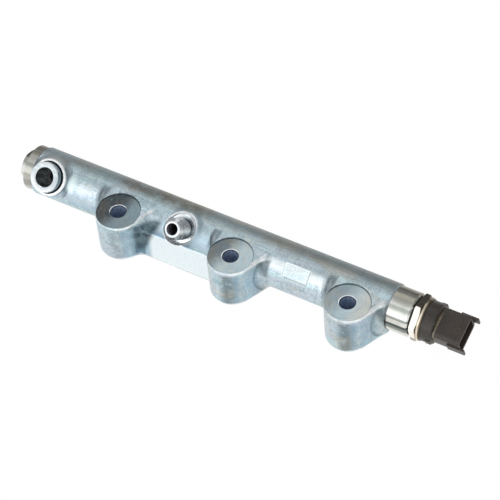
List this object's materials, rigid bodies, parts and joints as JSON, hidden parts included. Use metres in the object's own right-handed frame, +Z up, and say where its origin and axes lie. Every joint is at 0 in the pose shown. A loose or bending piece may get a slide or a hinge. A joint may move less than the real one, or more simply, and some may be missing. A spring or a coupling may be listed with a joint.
{
  "type": "common-rail fuel rail",
  "caption": "Forged diesel fuel rail with a row of mounting bosses, threaded pipe unions, an open side port, a closing plug and a screwed-in pressure sensor.",
  "frame": {"origin": "on the middle bolt axis, in the plane of the boss feet", "axes": "+X along the rail towards the pressure sensor, +Z up along the bolts, -Y to the side of the bosses and the inlet"},
  "size_m": [0.3168, 0.056, 0.0422],
  "materials": {
    "zinc_plated_steel": "forged and shot-blasted, bright zinc with a blue passivation",
    "turned_steel": "turned, bright",
    "nickel_plated_steel": "bright nickel",
    "seal_rubber": "black",
    "circuit_board": "solder resist",
    "yellow_passivated_ring": "yellow passivated",
    "black_plastic": "glass-filled nylon, brown-black",
    "tinned_bronze": "tinned"
  },
  "bodies": {
    "root": {"rail_body": "zinc_plated_steel", "inlet_union": "turned_steel", "inlet_throttle": "turned_steel", "side_port_union": "turned_steel", "end_plug": "turned_steel", "end_plug_seal": "turned_steel", "sensor_seal": "seal_rubber", "sensor_body": "nickel_plated_steel", "sensor_diaphragm": "turned_steel", "sensor_circuit_board": "circuit_board", "sensor_crimp_ring": "yellow_passivated_ring", "sensor_connector": "black_plastic", "outlet_union_1": "turned_steel", "outlet_throttle_1": "turned_steel", "outlet_union_2": "turned_steel", "outlet_throttle_2": "turned_steel", "outlet_union_3": "turned_steel", "outlet_throttle_3": "turned_steel", "outlet_union_4": "turned_steel", "outlet_throttle_4": "turned_steel", "sensor_terminal_1": "tinned_bronze", "sensor_terminal_2": "tinned_bronze", "sensor_terminal_3": "tinned_bronze"}
  },
  "joints": []
}
